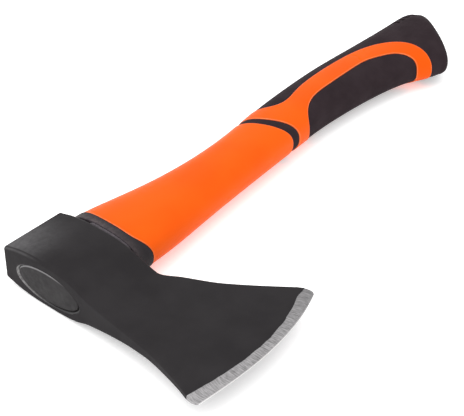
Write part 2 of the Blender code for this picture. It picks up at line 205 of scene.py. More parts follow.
def level_spline(knots, values, at):
    """A cubic curve through the values that never overshoots them, so equal values stay level."""
    knots, values = np.asarray(knots, float), np.asarray(values, float)
    steps = np.diff(knots)[:, None]
    rise = np.diff(values, axis=0) / steps
    slope = np.zeros_like(values)
    slope[0], slope[-1] = rise[0], rise[-1]
    same_way = rise[:-1] * rise[1:] > 0
    slope[1:-1][same_way] = (2 * rise[:-1] * rise[1:])[same_way] / (rise[:-1] + rise[1:])[same_way]
    i = np.clip(np.searchsorted(knots, at) - 1, 0, len(knots) - 2)
    h, t = steps[i], ((at - knots[i]) / np.diff(knots)[i])[:, None]
    return (
        values[i] * (1 + 2 * t) * (1 - t) ** 2
        + slope[i] * h * t * (1 - t) ** 2
        + values[i + 1] * t * t * (3 - 2 * t)
        + slope[i + 1] * h * t * t * (t - 1)
    )


def smooth_path(points, spacing=0.5):
    points = np.asarray(points, float)
    along = np.concatenate([[0], np.cumsum(np.linalg.norm(np.diff(points, axis=0), axis=1))])
    return natural_spline(along, points, np.linspace(0, along[-1], int(along[-1] / spacing) + 1))


def smooth_step(low, high, x):
    t = np.clip((x - low) / (high - low), 0, 1)
    return t * t * (3 - 2 * t)


# ---------------------------------------------------------------- meshes

def place_axes():
    """Where the axe's own zero lies in the world, in millimetres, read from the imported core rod."""
    low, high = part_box("fibreglass_core")
    x = low.x / MM - CORE_FROM[0]
    y = low.y / MM - (CORE_FROM[1] - CORE_HALF[0])
    z = (low.z + high.z) / 2 / MM
    return np.array([x, y, z])


def add_object(name, data):
    made = bpy.data.objects.new(name, data)
    bpy.context.scene.collection.objects.link(made)
    return made


def new_piece(name, points, faces, materials, kinds=None):
    """A mesh from points in the axe's axes, its faces turned outwards. A kind is a material's number."""
    mesh = bpy.data.meshes.new(name)
    mesh.from_pydata(((np.asarray(points) + AXES) * MM).tolist(), [], faces)
    for made in materials:
        mesh.materials.append(made)
    if kinds:
        mesh.polygons.foreach_set("material_index", kinds)
    shape = bmesh.new()
    shape.from_mesh(mesh)
    bmesh.ops.recalc_face_normals(shape, faces=shape.faces)
    shape.to_mesh(mesh)
    shape.free()
    mesh.shade_smooth()
    mesh.set_sharp_from_angle(angle=math.radians(SMOOTH_DEGREES))
    return add_object(name, mesh)


def stand_for(piece, node):
    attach(piece, "root")
    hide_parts(node)


def band_faces(lower, upper):
    """Quads between two closed rings of point numbers."""
    lower, upper = [*lower, lower[0]], [*upper, upper[0]]
    return [(lower[i], lower[i + 1], upper[i + 1], upper[i]) for i in range(len(lower) - 1)]


def ring_faces(first, count, rows):
    """Quads between rows of a tube whose points are numbered row by row."""
    faces = []
    for start in range(first, first + (rows - 1) * count, count):
        middle = start + count
        faces += band_faces(range(start, middle), range(middle, middle + count))
    return faces


def capped_tube(rings):
    """Points and faces of a tube through the rings, closed at both ends."""
    count = len(rings[0])
    last = count * (len(rings) - 1)
    ends = [tuple(range(count)), tuple(range(last, last + count))]
    return np.concatenate(rings), ring_faces(0, count, len(rings)) + ends


def oval_points(x, half_y, half_z, centre, turn):
    y = centre[0] + half_y * np.cos(turn)
    z = centre[1] + half_z * np.sin(turn)
    return np.stack([np.full_like(y, x), y, z], axis=1)


def core_hole(x, turn):
    """The section of the hole round the core rod, which leans in the handle's plane."""
    (x0, y0), (x1, y1) = CORE_FROM, CORE_TO
    centre = (y0 + (y1 - y0) / (x1 - x0) * (x - x0), 0.0)
    return oval_points(x, CORE_HALF[0] + GAP, CORE_HALF[1] + GAP, centre, turn)


# ---------------------------------------------------------------- head

LONG_STEPS = 56
SHORT_STEPS = 16
CORNER_STEPS = 6
RING_POINTS = 2 * (LONG_STEPS + SHORT_STEPS) + 4 * CORNER_STEPS


def bar_outline(half_length, half_thick, radius):
    """(s, z) points round a bar's section, anticlockwise, the same number on each side for every size."""
    corners = []
    for side_s, side_z, start in ((1, 1, 0), (-1, 1, 90), (-1, -1, 180), (1, -1, 270)):
        centre = np.array([side_s * (half_length - radius), side_z * (half_thick - radius)])
        angle = np.radians(start + 90 * np.arange(CORNER_STEPS + 1) / CORNER_STEPS)
        corners.append(centre + radius * np.stack([np.cos(angle), np.sin(angle)], axis=1))
    points = []
    for k, corner in enumerate(corners):
        begin, end = corner[-1], corners[(k + 1) % 4][0]
        steps = LONG_STEPS if k % 2 == 0 else SHORT_STEPS
        points += [*corner, *(begin + (end - begin) * i / steps for i in range(1, steps))]
    return np.array(points)


def head_section(row, plan_round=0.0):
    """One line across the head as a closed ring of points."""
    left, right = np.array(row[0:2]), np.array(row[2:4])
    bow, half = row[4], row[5]
    length = np.linalg.norm(right - left)
    outline = bar_outline(length / 2 - plan_round, half, min(HEAD_ARRIS, 0.45 * half))
    u = outline[:, 0] / length + 0.5
    ring = np.empty((len(u), 3))
    ring[:, :2] = left + (right - left) * u[:, None]
    ring[:, 1] -= bow * 4 * u * (1 - u) * (1 + BOW_SKEW * (2 * u - 1))
    ring[:, 2] = outline[:, 1]
    return ring


def poll_rings(rows):
    """The flat poll face, from its middle out, and its rounded rim."""
    rings = []
    for angle in np.radians(np.linspace(0, 75, 6)):
        inset = POLL_ROUND * (1 - math.sin(angle))
        start = rows[0].copy()
        start[[1, 3]] -= POLL_ROUND * (1 - math.cos(angle))
        start[5] -= inset
        rings.append(head_section(start, inset))
    face = rings[0]
    centre = face.mean(axis=0)
    return [centre + (face - centre) * share for share in (0.1, 0.35, 0.6, 0.85)] + rings


def bevel_rows(bevel, edge):
    """The ground bevel and the steeper fine edge in front of it, as (share of the way, row)."""
    found = []
    for t in (*np.linspace(0.12, FINE_EDGE_FROM, 7), 0.84, 0.92, 1.0):
        row = bevel + (edge - bevel) * t
        row[5] = np.interp(t, (0, FINE_EDGE_FROM, 1), (bevel[5], FINE_EDGE_HALF, edge[5]))
        found.append((t, row))
    return found


def head_mesh():
    """Points, faces, each point's place on the ground bevel, and how many points carry the coat."""
    rows = np.array(HEAD_ROWS)
    knots = np.arange(len(rows), dtype=float)
    rings = poll_rings(rows)
    rows[0, [1, 3]] -= POLL_ROUND
    middle_y = rows[:, [1, 3]].mean(axis=1)
    ys = np.linspace(middle_y[0], middle_y[BEVEL_ROW], int((middle_y[0] - middle_y[BEVEL_ROW]) / PITCH))
    downs = np.interp(-ys, -middle_y[:BEVEL_ROW + 1], knots[:BEVEL_ROW + 1])
    rings += [head_section(row) for row in level_spline(knots, rows, downs)]
    count = len(rings[0])
    coat_points = len(rings) * count
    rings[-1] = wander(rings[-1])
    start = rings[-1]
    bevel = bevel_rows(rows[BEVEL_ROW], rows[BEVEL_ROW + 1])
    for t, row in bevel:
        rings.append(head_section(row, TIP_ROUND * (1 - math.sqrt(1 - t * t))))
    faces = ring_faces(0, count, len(rings))
    faces.append(tuple(range(count)))
    faces += edge_cap((len(rings) - 1) * count, count)
    along = start[:, 0] * MM
    shares = [0.0] * (len(rings) - len(bevel)) + [t for t, row in bevel]
    ground = []
    for ring, share in zip(rings, shares):
        across = np.linalg.norm((ring - start)[:, :2], axis=1) * MM
        ground.append(np.stack([along, across, np.full(count, share)], axis=1))
    ground = np.concatenate(ground)
    ground[:coat_points - count] = 0.0
    return np.concatenate(rings), faces, ground, coat_points


def wander(ring):
    """Makes the line where the grinding cuts into the coat uneven, and slides its end at the heel."""
    by_heel = smooth_step(HEEL_FROM_X, ring[:, 0].max(), ring[:, 0])
    wandered = ring + by_heel[:, None] * np.array(HEEL_SLIDE)
    for i, (x, y, z) in enumerate(ring):
        side = math.copysign(30.0, z)
        slow, quick = noise.noise(Vector((x * 0.15, side, 0))), noise.noise(Vector((x * 0.7, side, 5)))
        wandered[i, 1] += COAT_WAVE * (1.3 * slow + 1.0 * quick)
    return wandered


def edge_cap(first, count):
    """Closes the last ring with quads from its upper to its lower side, and one face round each end."""
    half = count // 2
    end = SHORT_STEPS // 2 + CORNER_STEPS + 1
    top = [first + (i - SHORT_STEPS // 2) % count for i in range(half + 1)]
    low = [first + (-i - SHORT_STEPS // 2) % count for i in range(half + 1)]
    faces = [(top[i], low[i], low[i + 1], top[i + 1]) for i in range(end, half - end)]
    faces.append((*top[end:0:-1], *low[:end + 1]))
    faces.append((*low[half - end:half], *top[half:half - end - 1:-1]))
    return faces


def forge_skin(points, coat_points):
    """Dents the coated forging slightly inwards, as its scale does, and leaves the ground bevel true."""
    rough = points.copy()
    for i in range(coat_points):
        p = Vector(points[i]) * SCALE_PITCH
        wave = noise.noise(p) + 0.5 * noise.noise(p * 2.3 + Vector((7, 3, 1)))
        rough[i, 2] *= 1 - SCALE_DEPTH * (0.5 + 0.5 * wave)
    return rough


def coat_painted_highlight(points):
    """How much painted highlight the coat gets at each point, 0 to 1: on the arrises and the cheeks, and most
    near the poll.
    """
    corner_start = np.array([0, CORNER_STEPS + LONG_STEPS])
    period = CORNER_STEPS + LONG_STEPS + CORNER_STEPS + SHORT_STEPS
    place = np.arange(len(points)) % RING_POINTS % period
    off_middle = np.abs(place[:, None] - corner_start - CORNER_STEPS / 2).min(axis=1)
    on_arris = np.clip(1 - off_middle / (CORNER_STEPS / 2), 0, 1)
    on_cheek = (place > CORNER_STEPS) & (place < CORNER_STEPS + LONG_STEPS)
    x, y = points[:, 0], points[:, 1]
    arris = ARRIS_PAINTED_HIGHLIGHT * on_arris * smooth_step(2, 24, y)
    cheek = np.where(on_cheek, CHEEK_PAINTED_SHEEN * smooth_step(0, 32, y) * (1 - smooth_step(4, 42, x)), 0.0)
    return np.maximum(arris, cheek)


def eye_half(x):
    end, handle = np.array(EYE_END), np.array(EYE_HANDLE)
    return end + (handle - end) * x / HEAD_HEIGHT


def eye_cutter():
    """The tube that cuts the eye and, at the end face, its flared rim."""
    turn = np.linspace(0, 2 * math.pi, 120, endpoint=False)
    sizes = [(x, eye_half(x) + np.array(EYE_FLARE) * share) for x, share in FLARE_SHAPE]
    sizes.append((HEAD_HEIGHT + 5.0, eye_half(HEAD_HEIGHT + 5.0)))
    points, faces = capped_tube([oval_points(x, *half, (EYE_Y, EYE_Z), turn) for x, half in sizes])
    return new_piece("cut_eye", points, faces, [])


def cut(target, tool):
    step = target.modifiers.new("cut", "BOOLEAN")
    step.operation = "DIFFERENCE"
    step.solver = "EXACT"
    step.object = tool
    bpy.context.view_layer.update()
    mesh = bpy.data.meshes.new_from_object(target.evaluated_get(bpy.context.evaluated_depsgraph_get()))
    target.modifiers.clear()
    target.data = mesh
    bpy.data.objects.remove(tool, do_unlink=True)


def build_head():
    points, faces, ground, coat_points = head_mesh()
    points = forge_skin(points, coat_points)
    head = new_piece("hatchet_head", points, faces, [coat_material(), steel_material(), rim_material()])
    mesh = head.data
    attribute = mesh.attributes.new("grind", "FLOAT_VECTOR", "POINT")
    attribute.data.foreach_set("vector", ground.astype(np.float32).ravel())
    # painted highlight: how much lighter the coat is painted at each point
    attribute = mesh.attributes.new("painted_highlight", "FLOAT", "POINT")
    attribute.data.foreach_set("value", coat_painted_highlight(points).astype(np.float32))
    first_ground = coat_points - RING_POINTS
    for face in mesh.polygons:
        face.material_index = int(min(face.vertices) >= first_ground)
    cut(head, eye_cutter())
    mark_rim(head)
    head.data.shade_smooth()
    head.data.set_sharp_from_angle(angle=math.radians(HEAD_SMOOTH_DEGREES))
    stand_for(head, "axe_head")


def mark_rim(head):
    """Gives the eye's flared rim its own material: worn, and painted lighter towards the poll as a highlight.
    """
    for face in head.data.polygons:
        x, y, z = np.array(face.center) / MM - AXES
        half = eye_half(max(x, 0)) + np.array(EYE_FLARE) + 0.2
        inside = ((y - EYE_Y) / half[0]) ** 2 + ((z - EYE_Z) / half[1]) ** 2 < 1
        in_end_face = face.normal.x <= -0.98
        if inside and -1.0 < x < RIM_DEPTH and not in_end_face:
            face.material_index = 2


# ---------------------------------------------------------------- handle skin

class Skin:
    """A net of points with outward normals and quads."""

    def __init__(self, rings):
        self.rows, self.count = len(rings), len(rings[0])
        grid = np.array(rings)
        down = np.gradient(grid, axis=0)
        round_ = np.roll(grid, -1, axis=1) - np.roll(grid, 1, axis=1)
        normal = np.cross(round_, down)
        normal /= np.maximum(np.linalg.norm(normal, axis=2), 1e-9)[:, :, None]
        self.points = grid.reshape(-1, 3)
        self.normals = normal.reshape(-1, 3)
        self.faces = ring_faces(0, self.count, self.rows)


def round_angles():
    """Angles round the handle's section, with extra ones for the parting line."""
    even = np.linspace(0, 2 * math.pi, ROUND_POINTS, endpoint=False)
    parting = math.radians(PARTING_DEGREES)
    even = even[np.abs(even - parting) > math.radians(2.0)]
    extra = parting + np.radians([-1.5, -0.7, 0.0, 0.7, 1.5])
    return np.sort(np.concatenate([even, extra]))


def parting_ridge(skin):
    """Height of the thin line of flash along the handle's belly."""
    here = round_angles()
    off = np.abs(here - math.radians(PARTING_DEGREES))
    height = PARTING_HEIGHT * (1 - smooth_step(math.radians(0.3), math.radians(1.3), off))
    return np.tile(height, skin.rows)


def handle_ring(station, inset, turn):
    sx, sy, bx, by, half = station
    middle = np.array([sx + bx, sy + by]) / 2
    reach = np.array([sx - bx, sy - by]) / 2
    length = np.linalg.norm(reach)
    reach = reach * (length - inset) / length
    c = np.sign(np.cos(turn)) * np.abs(np.cos(turn)) ** (2 / SECTION_POWER)
    s = np.sign(np.sin(turn)) * np.abs(np.sin(turn)) ** (2 / SECTION_POWER)
    ring = np.empty((len(turn), 3))
    ring[:, :2] = middle + reach * c[:, None]
    ring[:, 2] = (half - inset) * s
    return ring


def stations_at(xs):
    """Handle stations whose spine points lie at these x."""
    stations = np.array(HANDLE_STATIONS)
    knots = np.arange(len(stations), dtype=float)
    dense = np.linspace(0, knots[-1], 2000)
    spine_x = natural_spline(knots, stations, dense)[:, 0]
    return natural_spline(knots, stations, np.interp(xs, spine_x, dense))


def even_then_fine(from_x, to_x):
    """Ring positions along the spine, closer together where the mark and the ribs are."""
    fine = (
        (min(x for x, y in MARK_ARC) + 6.0, max(x for x, y in MARK_ARC) + 9.0),
        (GROOVE_X[0] - 2 * GROOVE_HALF, GROOVE_X[-1] + 2 * GROOVE_HALF),
    )
    xs, at = [], from_x
    for low, high in fine:
        xs.append(np.linspace(at, low, int((low - at) / PITCH), endpoint=False))
        xs.append(np.linspace(low, high, int((high - low) / FINE_PITCH), endpoint=False))
        at = high
    xs.append(np.linspace(at, to_x - BUTT_CLEAR, int((to_x - at) / PITCH)))
    return np.concatenate(xs)


def handle_skin(from_x):
    """The whole handle's skin from a section near the head to the middle of the butt's end."""
    turn = round_angles()
    last = np.array(HANDLE_STATIONS[-1])
    xs = even_then_fine(from_x, last[0])
    rings = [handle_ring(station, 0.0, turn) for station in stations_at(xs)]
    chord = last[0:2] - last[2:4]
    outward = np.array([chord[1], -chord[0]]) / np.linalg.norm(chord)
    for angle in np.radians(np.linspace(0, 90, 9)):
        pushed = last.copy()
        pushed[:4] += np.tile(outward * BUTT_ROUND * math.sin(angle), 2)
        rings.append(handle_ring(pushed, BUTT_ROUND * (1 - math.cos(angle)), turn))
    rim = rings[-1]
    centre = rim.mean(axis=0)
    for share in (0.9, 0.75, 0.55, 0.35, 0.15, 0.01):
        ring = centre + (rim - centre) * share
        ring[:, :2] += outward * BUTT_CROWN * (1 - share**2)
        rings.append(ring)
    return Skin(rings)


# ---------------------------------------------------------------- outlines on the skin

def right_distance(points, path):
    """Distance of each point from a path in plan, positive to its right, and the direction it grows in."""
    start, step = path[:-1], np.diff(path, axis=0)
    size = (step**2).sum(axis=1)
    distance, direction = np.empty(len(points)), np.empty((len(points), 2))
    for low in range(0, len(points), 4000):
        part = points[low:low + 4000, None, :2]
        t = np.clip(((part - start) * step).sum(axis=2) / size, 0, 1)
        away = part - (start + step * t[:, :, None])
        best = (away**2).sum(axis=2).argmin(axis=1)
        away = away[np.arange(len(best)), best]
        right = np.stack([step[best, 1], -step[best, 0]], axis=1)
        side = np.where((away * right).sum(axis=1) >= 0, 1.0, -1.0)
        length = np.linalg.norm(away, axis=1)
        right /= np.linalg.norm(right, axis=1)[:, None]
        distance[low:low + 4000] = side * length
        direction[low:low + 4000] = right
    return distance, direction


def on_skin(skin, distance, direction):
    """Turns distance in plan into distance along the skin, and its direction into one in the skin."""
    flat = np.concatenate([direction, np.zeros((len(direction), 1))], axis=1)
    along = flat - skin.normals * (flat * skin.normals).sum(axis=1)[:, None]
    size = np.maximum(np.linalg.norm(along, axis=1), 0.35)
    return distance / size, along / size[:, None]


def pick(found, choose):
    """Of several (distance, way out), the one that choose takes at each point, and its number."""
    distances = np.stack([distance for distance, way in found])
    ways = np.stack([way for distance, way in found])
    which = choose(distances, axis=0)
    every = np.arange(len(which))
    return distances[which, every], ways[which, every], which


def outside_of(skin, edges):
    """How far each point is outside the region that these (path, side) edges bound, and the way out."""
    found = []
    for path, side in edges:
        distance, direction = right_distance(skin.points, smooth_path(path))
        found.append(on_skin(skin, distance * side, direction * side))
    return pick(found, np.argmax)[:2]


class Patch:
    """A skin split along the zero line of a field: inner faces where it is below zero, outer where above."""

    def __init__(self, skin, field, extras):
        self.field = field.copy()
        self.extras = [np.array(extra, float) for extra in (skin.points, skin.normals, *extras)]
        self.snap(skin.faces)
        self.made, self.added = {}, []
        self.inner, self.outer = [], []
        for face in skin.faces:
            values = self.field[list(face)]
            if (values <= 0).all():
                self.inner.append(face)
            elif (values >= 0).all():
                self.outer.append(face)
            else:
                self.split(face)
        for k in range(len(self.extras)):
            if self.added:
                mixed = [self.extras[k][a] * (1 - t) + self.extras[k][b] * t for a, b, t in self.added]
                self.extras[k] = np.concatenate([self.extras[k], np.array(mixed)])

    def snap(self, faces):
        corners = np.array(faces)
        ends = np.concatenate([corners[:, [i, (i + 1) % 4]] for i in range(4)])
        ends = ends[self.field[ends[:, 0]] * self.field[ends[:, 1]] < 0]
        share = self.field[ends[:, 0]] / (self.field[ends[:, 0]] - self.field[ends[:, 1]])
        near = share < SNAP
        order = np.argsort(share[near])[::-1]
        ends, share = ends[near][order], share[near][order]
        moved = {a: (b, t) for (a, b), t in zip(ends.tolist(), share)}
        before = [extra.copy() for extra in self.extras]
        for a, (b, t) in moved.items():
            for k, extra in enumerate(self.extras):
                extra[a] = before[k][a] * (1 - t) + before[k][b] * t
            self.field[a] = 0.0

    def crossing(self, a, b):
        key = (min(a, b), max(a, b))
        if key not in self.made:
            low, high = key
            t = self.field[low] / (self.field[low] - self.field[high])
            self.made[key] = len(self.field) + len(self.added)
            self.added.append((low, high, t))
        return self.made[key]

    def split(self, face):
        below, above = [], []
        for a, b in zip(face, face[1:] + face[:1]):
            at_a, at_b = self.field[a], self.field[b]
            if at_a <= 0:
                below.append(a)
            if at_a >= 0:
                above.append(a)
            if at_a * at_b < 0:
                middle = self.crossing(a, b)
                below.append(middle)
                above.append(middle)
        if len(below) > 2:
            self.inner.append(tuple(below))
        if len(above) > 2:
            self.outer.append(tuple(above))


def open_edges(faces):
    """Directed edges used by one face only."""
    used = {(a, b) for face in faces for a, b in zip(face, face[1:] + face[:1])}
    return [(a, b) for a, b in used if (b, a) not in used]


class Body:
    """Collects points and faces of one closed piece."""

    def __init__(self):
        self.points, self.faces, self.kinds = [], [], []

    def add_points(self, points):
        first = len(self.points)
        self.points.extend(np.asarray(points).tolist())
        return first

    def add_sheet(self, points, faces, flip=False):
        """Adds the points that these faces use, and the faces. Gives each old number's new one."""
        used = sorted({v for face in faces for v in face})
        first = self.add_points(points[used])
        number = {old: first + i for i, old in enumerate(used)}
        for face in faces:
            new = tuple(number[v] for v in face)
            self.faces.append(new[::-1] if flip else new)
            self.kinds.append(0)
        return number

    def add_wall(self, edges, upper, lower, kind=0):
        for a, b in edges:
            self.faces.append((upper[b], upper[a], lower[a], lower[b]))
            self.kinds.append(kind)


def rim_profile(rounding, drop, bed):
    """(outward, depth) of each row of a rim, from the face, round the arris and down to the bed."""
    rows = []
    for angle in np.radians((22.5, 45.0, 67.5, 90.0)):
        rows.append((rounding * math.sin(angle), drop + rounding * (1 - math.cos(angle))))
    rows.append((rounding, (drop + rounding + bed) / 2))
    return rows


def rim_walls(body, edges, points, normals, way_out, profile, top, kind=0):
    """Rows of wall from a sheet's open edge down its rim. Gives the last row's point numbers."""
    loop = sorted({v for edge in edges for v in edge})
    upper = top
    for outward, depth in profile:
        first = body.add_points(points[loop] + way_out[loop] * outward - normals[loop] * depth)
        lower = {v: first + i for i, v in enumerate(loop)}
        body.add_wall(edges, upper, lower, kind)
        upper = lower
    return upper


def pad_piece(
    name, skin, field, way, materials,
    drop=PAD_DROP, bed=PAD_THICK, rounding=RIM_ROUND, dents=None, rim_kind=0,
):
    """A moulded pad: the skin where the field is below zero, rounded at the rim. Deep dents are of kind 1."""
    dents = np.zeros(len(skin.points)) if dents is None else dents
    patch = Patch(skin, field + rounding + SEAM, [way, dents[:, None]])
    points, normals, way, dents = patch.extras
    normals /= np.linalg.norm(normals, axis=1)[:, None]
    body = Body()
    top = body.add_sheet(points - normals * (drop + dents), patch.inner)
    if len(materials) > 1:
        body.kinds = [int(dents[list(face)].mean() > GROOVE_DEPTH / 2) for face in patch.inner]
    edges = open_edges(patch.inner)
    lower = rim_walls(body, edges, points, normals, way, rim_profile(rounding, drop, bed), top, rim_kind)
    rim = sorted({v for edge in edges for v in edge})
    inside = points - normals * bed
    inside[rim] += way[rim] * rounding
    under = body.add_sheet(inside, patch.inner, flip=True)
    body.add_wall(edges, lower, under)
    return new_piece(name, np.array(body.points), body.faces, materials, body.kinds)


# ---------------------------------------------------------------- handle pieces

def build_spine_grip(skin):
    field, way = outside_of(skin, SPINE_PAD)
    x, y = skin.points[:, 0], skin.points[:, 1]
    dents = np.zeros(len(x))
    for groove in GROOVE_X:
        across = 1 - smooth_step(GROOVE_HALF * 0.65, GROOVE_HALF * 1.05, np.abs(x - groove))
        dents += GROOVE_DEPTH * across * smooth_step(GROOVE_FROM_Y - 0.8, GROOVE_FROM_Y + 0.8, y)
    grip = pad_piece("grip_spine", skin, field, way, [soft_material(), groove_material()], dents=dents)
    stand_for(grip, "spine_grip")


def build_belly_grip(skin):
    field, way = outside_of(skin, BELLY_PAD)
    grip = pad_piece("grip_belly", skin, field, way, [soft_material()], dents=-parting_ridge(skin))
    stand_for(grip, "belly_grip")


def build_band(skin):
    field, way = outside_of(skin, BAND_PAD)
    band = pad_piece("band_neck", skin, field, way, [soft_material()])
    stand_for(band, "neck_band")


def build_collar():
    """The collar stands proud of the jacket and is rounded on both sides."""
    skin = handle_skin(HANDLE_START - 3 * COLLAR_RIM)
    field, way = outside_of(skin, COLLAR_PAD)
    front = HANDLE_START - skin.points[:, 0]
    at_front = front > field
    field = np.where(at_front, front, field)
    way = np.where(at_front[:, None], np.array([-1.0, 0.0, 0.0]), way)
    looks = [collar_material(), collar_rim_material()]
    sizes = {"drop": -COLLAR_PROUD, "bed": COLLAR_INSET, "rounding": COLLAR_RIM}
    collar = pad_piece("collar_head", skin, field, way, looks, **sizes, rim_kind=1)
    stand_for(collar, "head_collar")


def build_jacket(skin):
    """Orange shell: the skin outside every pad, a bed sunk under each pad and a bore for the core rod."""
    pads = (SPINE_PAD, BELLY_PAD, BAND_PAD, COLLAR_PAD)
    beds = np.array([PAD_THICK, PAD_THICK, PAD_THICK, COLLAR_INSET]) + GAP
    field, way, nearest = pick([outside_of(skin, pad) for pad in pads], np.argmin)
    inwards = SHELL_ROUND + SEAM - field
    patch = Patch(skin, inwards, [-way, beds[nearest][:, None], mark_dents(skin)[:, None]])
    points, normals, way, bed, dents = patch.extras
    normals /= np.linalg.norm(normals, axis=1)[:, None]
    body = Body()
    top = body.add_sheet(points - normals * dents, patch.inner)
    edges = open_edges(patch.inner)
    profile = rim_profile(SHELL_ROUND, 0.0, PAD_THICK)
    lower = rim_walls(body, edges, points, normals, way, profile, top, kind=1)
    floors = body.add_sheet(points - normals * bed, patch.outer)
    body.add_wall(edges, lower, floors)
    close_jacket(body, floors, skin)
    # the rims, kind 1, are painted a lighter orange as a highlight
    looks = [orange_material(), orange_rim_highlight_material()]
    jacket = new_piece("jacket", np.array(body.points), body.faces, looks, body.kinds)
    stand_for(jacket, "handle_jacket")


def mark_dents(skin):
    """The fine engraved arc on the upper side of the orange."""
    distance, _ = right_distance(skin.points, smooth_path(MARK_ARC, 0.2))
    near = np.abs(distance) < 2 * MARK_HALF
    groove = 1 - smooth_step(0.4 * MARK_HALF, 1.6 * MARK_HALF, np.abs(distance))
    return np.where(near & (skin.points[:, 2] > 0), MARK_DEPTH * groove, 0.0)


def close_jacket(body, numbers, skin):
    """Closes the butt, and joins the blind hole for the core rod to the front rim."""
    butt = (skin.rows - 1) * skin.count
    body.faces.append(tuple(numbers[butt + i] for i in range(skin.count)))
    turn = round_angles()
    rings = [core_hole(x, turn) for x in np.linspace(HANDLE_START, CORE_TO[0] + GAP, 24)]
    first = body.add_points(np.concatenate(rings))
    last = first + skin.count * (len(rings) - 1)
    body.faces += band_faces([numbers[i] for i in range(skin.count)], range(first, first + skin.count))
    body.faces += ring_faces(first, skin.count, len(rings))
    body.faces.append(tuple(range(last, last + skin.count)))
    body.kinds += [0] * (len(body.faces) - len(body.kinds))


def seal_sink(ring):
    """How far the bead lies below the handle's skin: level with it, but torn away in a few places."""
    sink = np.full(len(ring), -SEAL_PROUD)
    for low, high, side in SEAL_TEARS:
        y, upper = ring[:, 1], ring[:, 2] * side > 0
        inside = smooth_step(low - 3.0, low + 1.5, y) * (1 - smooth_step(high - 0.5, high + 1.5, y))
        sink += np.where(upper, inside, 0.0) * SEAL_TEAR_DEPTH
    wave = [noise.noise(Vector(point) * 0.35) for point in ring]
    return sink + SEAL_WAVE * np.array(wave)


def build_seal():
    """The bead of rubber squeezed out between head and handle."""
    turn = round_angles()
    low, high = HEAD_HEIGHT + SEAL_CLEAR, HANDLE_START - SEAL_CLEAR
    station = np.array(HANDLE_STATIONS[0])
    centre = np.array([(station[1] + station[3]) / 2, 0.0])
    section = handle_ring(station, 0.0, turn)
    arm = section[:, 1:] - centre
    length = np.linalg.norm(arm, axis=1)
    sink = seal_sink(section)
    rings = []
    for share in np.linspace(0, 1, 9):
        bulge = math.sqrt(max(0.0, 1 - (2 * share - 1) ** 2))
        ring = section.copy()
        ring[:, 0] = low + (high - low) * share
        ring[:, 1:] = centre + arm * (1 - (sink + SEAL_BULGE * (1 - bulge)) / length)[:, None]
        rings.append(ring)
    hole = core_hole(low, turn)
    rings += [hole + (x - low, 0, 0) for x in (high, (low + high) / 2, low)]
    last = len(turn) * (len(rings) - 1)
    faces = ring_faces(0, len(turn), len(rings))
    faces += band_faces(range(last, last + len(turn)), range(len(turn)))
    seal = new_piece("seal_ring", np.concatenate(rings), faces, [seal_material()])
    stand_for(seal, "eye_seal")


def build_resin():
    """Cast resin in the eye: a cushion-shaped face with a rounded rim that drops beside the eye's wall."""
    turn = np.linspace(0, 2 * math.pi, 96, endpoint=False)
    eye = (EYE_Y, EYE_Z)
    half = eye_half(RESIN_RECESS) - CLOSE_FIT
    rim_x = RESIN_RECESS + RESIN_CROWN
    rings = []
    for share in (0.02, 0.3, 0.55, 0.8, 1.0):
        x = RESIN_RECESS + RESIN_CROWN * share**2
        rings.append(oval_points(x, *((half - RESIN_RIM) * share), eye, turn))
    for angle in np.radians(np.linspace(15, 90, 6)):
        x = rim_x + RESIN_RIM * (1 - math.cos(angle))
        rings.append(oval_points(x, *(half - RESIN_RIM * (1 - math.sin(angle))), eye, turn))
    for x in (HEAD_HEIGHT / 2, HEAD_HEIGHT):
        rings.append(oval_points(x, *(eye_half(x) - CLOSE_FIT), eye, turn))
    rings += [core_hole(x, turn) for x in (HEAD_HEIGHT, HEAD_HEIGHT / 2, CORE_FROM[0] - GAP)]
    resin = new_piece("resin_fill", *capped_tube(rings), [resin_material()])
    stand_for(resin, "eye_resin")


# ---------------------------------------------------------------- materials

